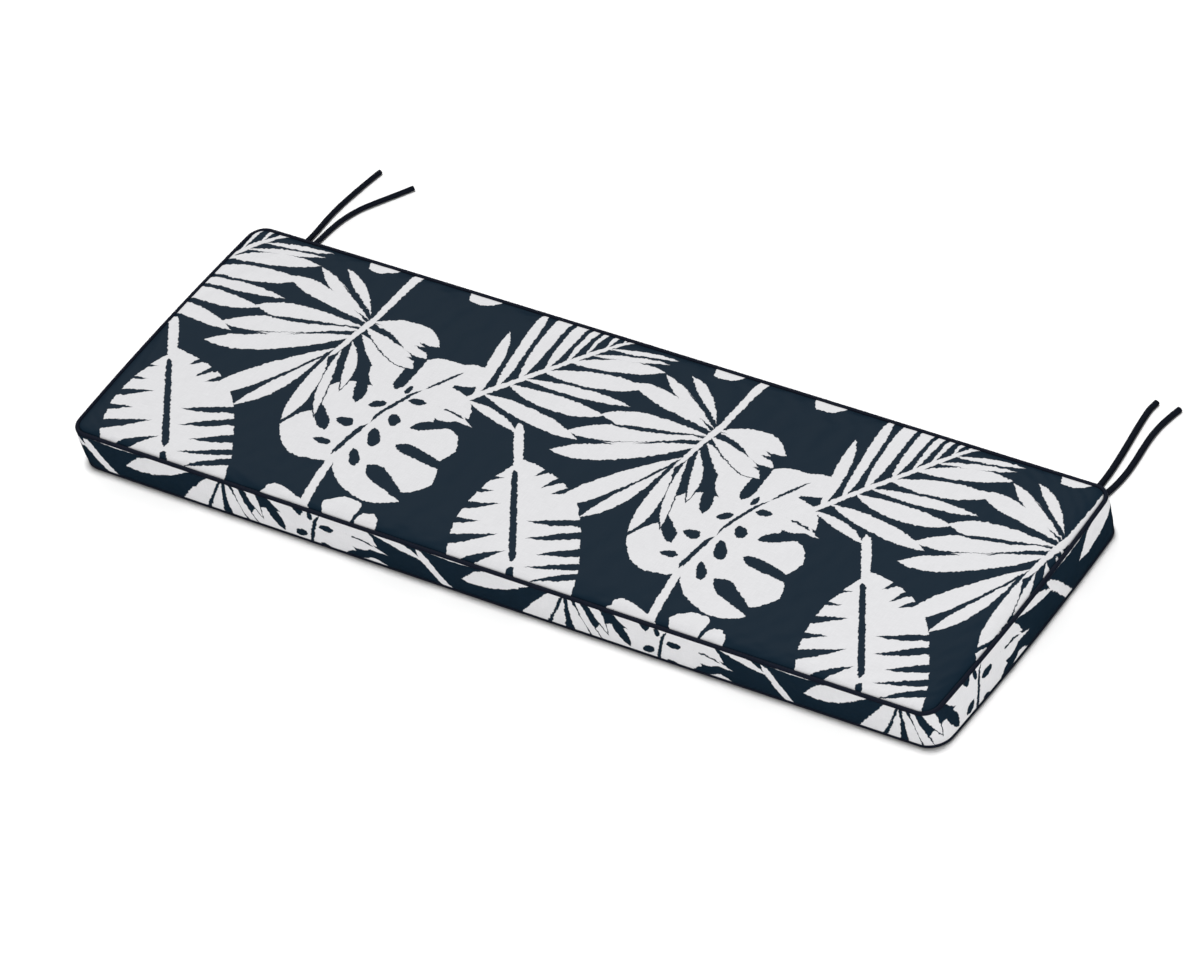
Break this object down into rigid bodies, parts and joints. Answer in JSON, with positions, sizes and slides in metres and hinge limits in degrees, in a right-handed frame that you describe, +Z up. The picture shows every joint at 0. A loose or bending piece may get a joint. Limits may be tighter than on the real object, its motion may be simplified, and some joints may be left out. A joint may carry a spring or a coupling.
{
  "type": "bench cushion",
  "caption": "Long, thin bench cushion with a leaf-printed cover, boxed sides, piping round the top and bottom seams, and paired tie strings at the back corners.",
  "frame": {"origin": "centre of the underside, on the surface that the cushion lies on, measured without the ties", "axes": "+X along the bench, +Y towards the back edge where the ties are sewn in, +Z up through the top panel"},
  "size_m": [1.4228, 0.6568, 0.0715],
  "materials": {
    "printed_cloth": "woven outdoor cloth, matt, navy ground with an off-white leaf print",
    "piping_cloth": "bias-cut cloth over cord, matt, near-black navy",
    "tie_cloth": "narrow stitched tube of cloth, matt, near-black navy"
  },
  "bodies": {
    "root": {"cushion": "printed_cloth", "piping_top": "piping_cloth", "piping_bottom": "piping_cloth", "tie_left_outer": "tie_cloth", "tie_left_inner": "tie_cloth", "tie_right_inner": "tie_cloth", "tie_right_outer": "tie_cloth"}
  },
  "joints": []
}
